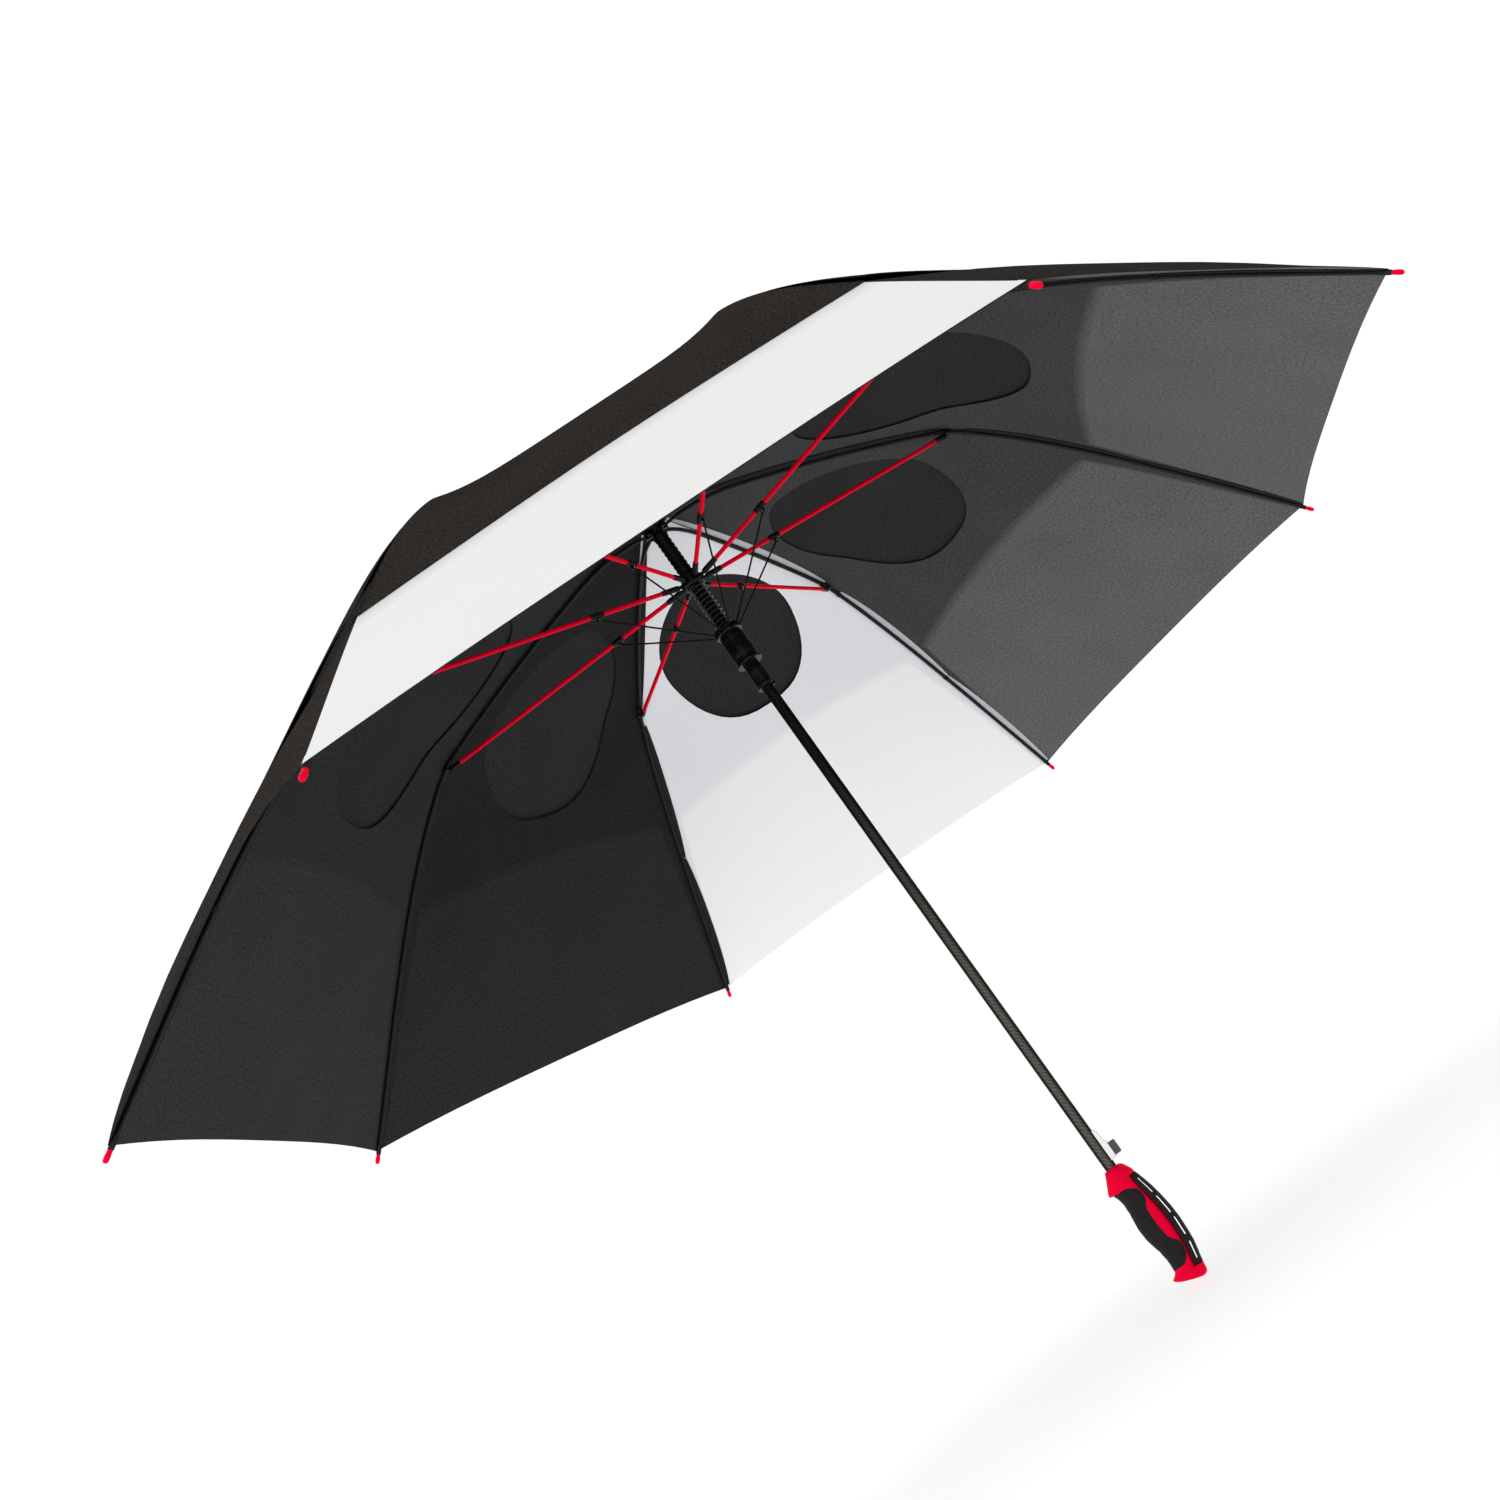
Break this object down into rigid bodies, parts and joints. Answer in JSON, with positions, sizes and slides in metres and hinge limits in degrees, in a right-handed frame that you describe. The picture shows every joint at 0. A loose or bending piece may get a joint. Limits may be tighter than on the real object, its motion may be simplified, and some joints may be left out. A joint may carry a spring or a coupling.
{
  "type": "golf umbrella",
  "caption": "Open golf umbrella with a vented double canopy, eight ribs, red struts, two sliding runners, a carbon shaft and a rubber-gripped handle with a release button.",
  "frame": {"origin": "on the shaft's axis, level with the lowest point of the handle", "axes": "+Z along the shaft from the handle to the ferrule, -Y out of the front of the grip where the rubber is, +Y to the strap's side, where the release button is"},
  "size_m": [1.4654, 1.4654, 1.065],
  "materials": {
    "carbon_shaft": "gloss carbon twill",
    "black_plastic": "satin",
    "black_steel": "black coated",
    "black_rib": "satin fibreglass",
    "red_fibreglass": "gloss",
    "red_plastic": "gloss",
    "black_rubber": "soft matte",
    "pale_plastic": "satin",
    "dark_grey_plastic": "satin",
    "white_fabric": "woven polyester",
    "black_fabric": "woven polyester"
  },
  "bodies": {
    "frame": {"shaft_tube": "carbon_shaft", "ferrule": "black_plastic", "crown_notch": "black_plastic", "stop_sleeve": "black_plastic", "handle_body": "red_plastic", "front_grip": "black_rubber", "back_strap": "black_rubber", "catch_housing": "pale_plastic"},
    "rib_1": {"rib_inner_1": "black_rib", "lower_panel_1": "white_fabric", "upper_panel_1": "black_fabric"},
    "rib_end_1": {"rib_outer_1": "black_rib"},
    "strut_1": {"stretcher_1": "red_fibreglass"},
    "tie_1": {"wire_1": "black_steel"},
    "rib_2": {"rib_inner_2": "black_rib", "lower_panel_2": "black_fabric", "upper_panel_2": "black_fabric"},
    "rib_end_2": {"rib_outer_2": "black_rib"},
    "strut_2": {"stretcher_2": "red_fibreglass"},
    "tie_2": {"wire_2": "black_steel"},
    "rib_3": {"rib_inner_3": "black_rib", "lower_panel_3": "black_fabric", "upper_panel_3": "black_fabric"},
    "rib_end_3": {"rib_outer_3": "black_rib"},
    "strut_3": {"stretcher_3": "red_fibreglass"},
    "tie_3": {"wire_3": "black_steel"},
    "rib_4": {"rib_inner_4": "black_rib", "lower_panel_4": "black_fabric", "upper_panel_4": "black_fabric"},
    "rib_end_4": {"rib_outer_4": "black_rib"},
    "strut_4": {"stretcher_4": "red_fibreglass"},
    "tie_4": {"wire_4": "black_steel"},
    "rib_5": {"rib_inner_5": "black_rib", "lower_panel_5": "white_fabric", "upper_panel_5": "black_fabric"},
    "rib_end_5": {"rib_outer_5": "black_rib"},
    "strut_5": {"stretcher_5": "red_fibreglass"},
    "tie_5": {"wire_5": "black_steel"},
    "rib_6": {"rib_inner_6": "black_rib", "lower_panel_6": "black_fabric", "upper_panel_6": "black_fabric"},
    "rib_end_6": {"rib_outer_6": "black_rib"},
    "strut_6": {"stretcher_6": "red_fibreglass"},
    "tie_6": {"wire_6": "black_steel"},
    "rib_7": {"rib_inner_7": "black_rib", "lower_panel_7": "black_fabric", "upper_panel_7": "black_fabric"},
    "rib_end_7": {"rib_outer_7": "black_rib"},
    "strut_7": {"stretcher_7": "red_fibreglass"},
    "tie_7": {"wire_7": "black_steel"},
    "rib_8": {"rib_inner_8": "black_rib", "lower_panel_8": "black_fabric", "upper_panel_8": "black_fabric"},
    "rib_end_8": {"rib_outer_8": "black_rib"},
    "strut_8": {"stretcher_8": "red_fibreglass"},
    "tie_8": {"wire_8": "black_steel"},
    "upper_runner": {"upper_hub": "black_plastic", "hub_spring": "black_steel"},
    "lower_runner": {"lower_hub": "black_plastic"},
    "button": {"release_button": "dark_grey_plastic"}
  },
  "joints": [
    {"name": "canopy_fold", "type": "hinge", "parent": "frame", "child": "rib_1", "pos_m": [0.01111, -0.00298, 0.9829], "axis": [0.2588, 0.9659, 0], "range_deg": [0, 78], "stiffness_Nm_per_rad": 5.7, "springref_deg": -29.79, "deforming": ["lower_panel_1", "upper_panel_1"]},
    {"name": "rib_2_hinge", "type": "hinge", "parent": "frame", "child": "rib_2", "pos_m": [0.00996, 0.00575, 0.9829], "axis": [-0.5, 0.866, 0], "range_deg": [0, 78], "deforming": ["lower_panel_2", "upper_panel_2"]},
    {"name": "rib_3_hinge", "type": "hinge", "parent": "frame", "child": "rib_3", "pos_m": [0.00298, 0.01111, 0.9829], "axis": [-0.9659, 0.2588, 0], "range_deg": [0, 78], "deforming": ["lower_panel_3", "upper_panel_3"]},
    {"name": "rib_4_hinge", "type": "hinge", "parent": "frame", "child": "rib_4", "pos_m": [-0.00575, 0.00996, 0.9829], "axis": [-0.866, -0.5, 0], "range_deg": [0, 78], "deforming": ["lower_panel_4", "upper_panel_4"]},
    {"name": "rib_5_hinge", "type": "hinge", "parent": "frame", "child": "rib_5", "pos_m": [-0.01111, 0.00298, 0.9829], "axis": [-0.2588, -0.9659, 0], "range_deg": [0, 78], "deforming": ["lower_panel_5", "upper_panel_5"]},
    {"name": "rib_6_hinge", "type": "hinge", "parent": "frame", "child": "rib_6", "pos_m": [-0.00996, -0.00575, 0.9829], "axis": [0.5, -0.866, 0], "range_deg": [0, 78], "deforming": ["lower_panel_6", "upper_panel_6"]},
    {"name": "rib_7_hinge", "type": "hinge", "parent": "frame", "child": "rib_7", "pos_m": [-0.00298, -0.01111, 0.9829], "axis": [0.9659, -0.2588, 0], "range_deg": [0, 78], "deforming": ["lower_panel_7", "upper_panel_7"]},
    {"name": "rib_8_hinge", "type": "hinge", "parent": "frame", "child": "rib_8", "pos_m": [0.00575, -0.00996, 0.9829], "axis": [0.866, 0.5, 0], "range_deg": [0, 78], "deforming": ["lower_panel_8", "upper_panel_8"]},
    {"name": "rib_end_1_flex", "type": "hinge", "parent": "rib_1", "child": "rib_end_1", "pos_m": [0.37082, -0.09936, 0.94879], "axis": [0.2588, 0.9659, 0], "range_deg": [-23.01, 0]},
    {"name": "strut_1_hinge", "type": "hinge", "parent": "rib_1", "child": "strut_1", "pos_m": [0.36599, -0.09807, 0.94535], "axis": [0.2588, 0.9659, 0], "range_deg": [-156, 0]},
    {"name": "tie_1_hinge", "type": "hinge", "parent": "strut_1", "child": "tie_1", "pos_m": [0.1087, -0.02913, 0.9126], "axis": [0.2588, 0.9659, 0], "range_deg": [0, 30.87]},
    {"name": "rib_end_2_flex", "type": "hinge", "parent": "rib_2", "child": "rib_end_2", "pos_m": [0.33247, 0.19195, 0.94879], "axis": [-0.5, 0.866, 0], "range_deg": [-23.01, 0]},
    {"name": "strut_2_hinge", "type": "hinge", "parent": "rib_2", "child": "strut_2", "pos_m": [0.32814, 0.18945, 0.94535], "axis": [-0.5, 0.866, 0], "range_deg": [-156, 0]},
    {"name": "tie_2_hinge", "type": "hinge", "parent": "strut_2", "child": "tie_2", "pos_m": [0.09746, 0.05627, 0.9126], "axis": [-0.5, 0.866, 0], "range_deg": [0, 30.87]},
    {"name": "rib_end_3_flex", "type": "hinge", "parent": "rib_3", "child": "rib_end_3", "pos_m": [0.09936, 0.37082, 0.94879], "axis": [-0.9659, 0.2588, 0], "range_deg": [-23.01, 0]},
    {"name": "strut_3_hinge", "type": "hinge", "parent": "rib_3", "child": "strut_3", "pos_m": [0.09807, 0.36599, 0.94535], "axis": [-0.9659, 0.2588, 0], "range_deg": [-156, 0]},
    {"name": "tie_3_hinge", "type": "hinge", "parent": "strut_3", "child": "tie_3", "pos_m": [0.02913, 0.1087, 0.9126], "axis": [-0.9659, 0.2588, 0], "range_deg": [0, 30.87]},
    {"name": "rib_end_4_flex", "type": "hinge", "parent": "rib_4", "child": "rib_end_4", "pos_m": [-0.19195, 0.33247, 0.94879], "axis": [-0.866, -0.5, 0], "range_deg": [-23.01, 0]},
    {"name": "strut_4_hinge", "type": "hinge", "parent": "rib_4", "child": "strut_4", "pos_m": [-0.18945, 0.32814, 0.94535], "axis": [-0.866, -0.5, 0], "range_deg": [-156, 0]},
    {"name": "tie_4_hinge", "type": "hinge", "parent": "strut_4", "child": "tie_4", "pos_m": [-0.05627, 0.09746, 0.9126], "axis": [-0.866, -0.5, 0], "range_deg": [0, 30.87]},
    {"name": "rib_end_5_flex", "type": "hinge", "parent": "rib_5", "child": "rib_end_5", "pos_m": [-0.37082, 0.09936, 0.94879], "axis": [-0.2588, -0.9659, 0], "range_deg": [-23.01, 0]},
    {"name": "strut_5_hinge", "type": "hinge", "parent": "rib_5", "child": "strut_5", "pos_m": [-0.36599, 0.09807, 0.94535], "axis": [-0.2588, -0.9659, 0], "range_deg": [-156, 0]},
    {"name": "tie_5_hinge", "type": "hinge", "parent": "strut_5", "child": "tie_5", "pos_m": [-0.1087, 0.02913, 0.9126], "axis": [-0.2588, -0.9659, 0], "range_deg": [0, 30.87]},
    {"name": "rib_end_6_flex", "type": "hinge", "parent": "rib_6", "child": "rib_end_6", "pos_m": [-0.33247, -0.19195, 0.94879], "axis": [0.5, -0.866, 0], "range_deg": [-23.01, 0]},
    {"name": "strut_6_hinge", "type": "hinge", "parent": "rib_6", "child": "strut_6", "pos_m": [-0.32814, -0.18945, 0.94535], "axis": [0.5, -0.866, 0], "range_deg": [-156, 0]},
    {"name": "tie_6_hinge", "type": "hinge", "parent": "strut_6", "child": "tie_6", "pos_m": [-0.09746, -0.05627, 0.9126], "axis": [0.5, -0.866, 0], "range_deg": [0, 30.87]},
    {"name": "rib_end_7_flex", "type": "hinge", "parent": "rib_7", "child": "rib_end_7", "pos_m": [-0.09936, -0.37082, 0.94879], "axis": [0.9659, -0.2588, 0], "range_deg": [-23.01, 0]},
    {"name": "strut_7_hinge", "type": "hinge", "parent": "rib_7", "child": "strut_7", "pos_m": [-0.09807, -0.36599, 0.94535], "axis": [0.9659, -0.2588, 0], "range_deg": [-156, 0]},
    {"name": "tie_7_hinge", "type": "hinge", "parent": "strut_7", "child": "tie_7", "pos_m": [-0.02913, -0.1087, 0.9126], "axis": [0.9659, -0.2588, 0], "range_deg": [0, 30.87]},
    {"name": "rib_end_8_flex", "type": "hinge", "parent": "rib_8", "child": "rib_end_8", "pos_m": [0.19195, -0.33247, 0.94879], "axis": [0.866, 0.5, 0], "range_deg": [-23.01, 0]},
    {"name": "strut_8_hinge", "type": "hinge", "parent": "rib_8", "child": "strut_8", "pos_m": [0.18945, -0.32814, 0.94535], "axis": [0.866, 0.5, 0], "range_deg": [-156, 0]},
    {"name": "tie_8_hinge", "type": "hinge", "parent": "strut_8", "child": "tie_8", "pos_m": [0.05627, -0.09746, 0.9126], "axis": [0.866, 0.5, 0], "range_deg": [0, 30.87]},
    {"name": "upper_runner_hinge", "type": "hinge", "parent": "strut_1", "child": "upper_runner", "pos_m": [0.01111, -0.00298, 0.9078], "axis": [0.2588, 0.9659, 0], "range_deg": [0, 78]},
    {"name": "lower_runner_slide", "type": "slide", "parent": "upper_runner", "child": "lower_runner", "axis": [0, 0, 1], "range_m": [0, 0.04603], "deforming": ["hub_spring"]},
    {"name": "button_press", "type": "slide", "parent": "frame", "child": "button", "axis": [0, -1, 0], "range_m": [0, 0.0022], "stiffness_N_per_m": 1500, "springref_m": -0.001}
  ],
  "couplings": [
    {"joint": "rib_2_hinge", "follows": "canopy_fold", "ratio": 1},
    {"joint": "rib_3_hinge", "follows": "canopy_fold", "ratio": 1},
    {"joint": "rib_4_hinge", "follows": "canopy_fold", "ratio": 1},
    {"joint": "rib_5_hinge", "follows": "canopy_fold", "ratio": 1},
    {"joint": "rib_6_hinge", "follows": "canopy_fold", "ratio": 1},
    {"joint": "rib_7_hinge", "follows": "canopy_fold", "ratio": 1},
    {"joint": "rib_8_hinge", "follows": "canopy_fold", "ratio": 1},
    {"joint": "rib_end_1_flex", "follows": "canopy_fold", "ratio": -0.2949},
    {"joint": "strut_1_hinge", "follows": "canopy_fold", "ratio": -2},
    {"joint": "tie_1_hinge", "follows": "canopy_fold", "ratio": 0.3957},
    {"joint": "rib_end_2_flex", "follows": "canopy_fold", "ratio": -0.2949},
    {"joint": "strut_2_hinge", "follows": "canopy_fold", "ratio": -2},
    {"joint": "tie_2_hinge", "follows": "canopy_fold", "ratio": 0.3957},
    {"joint": "rib_end_3_flex", "follows": "canopy_fold", "ratio": -0.2949},
    {"joint": "strut_3_hinge", "follows": "canopy_fold", "ratio": -2},
    {"joint": "tie_3_hinge", "follows": "canopy_fold", "ratio": 0.3957},
    {"joint": "rib_end_4_flex", "follows": "canopy_fold", "ratio": -0.2949},
    {"joint": "strut_4_hinge", "follows": "canopy_fold", "ratio": -2},
    {"joint": "tie_4_hinge", "follows": "canopy_fold", "ratio": 0.3957},
    {"joint": "rib_end_5_flex", "follows": "canopy_fold", "ratio": -0.2949},
    {"joint": "strut_5_hinge", "follows": "canopy_fold", "ratio": -2},
    {"joint": "tie_5_hinge", "follows": "canopy_fold", "ratio": 0.3957},
    {"joint": "rib_end_6_flex", "follows": "canopy_fold", "ratio": -0.2949},
    {"joint": "strut_6_hinge", "follows": "canopy_fold", "ratio": -2},
    {"joint": "tie_6_hinge", "follows": "canopy_fold", "ratio": 0.3957},
    {"joint": "rib_end_7_flex", "follows": "canopy_fold", "ratio": -0.2949},
    {"joint": "strut_7_hinge", "follows": "canopy_fold", "ratio": -2},
    {"joint": "tie_7_hinge", "follows": "canopy_fold", "ratio": 0.3957},
    {"joint": "rib_end_8_flex", "follows": "canopy_fold", "ratio": -0.2949},
    {"joint": "strut_8_hinge", "follows": "canopy_fold", "ratio": -2},
    {"joint": "tie_8_hinge", "follows": "canopy_fold", "ratio": 0.3957},
    {"joint": "upper_runner_hinge", "follows": "canopy_fold", "ratio": 1},
    {"joint": "lower_runner_slide", "follows": "canopy_fold", "m_per_rad": 0.033801}
  ]
}
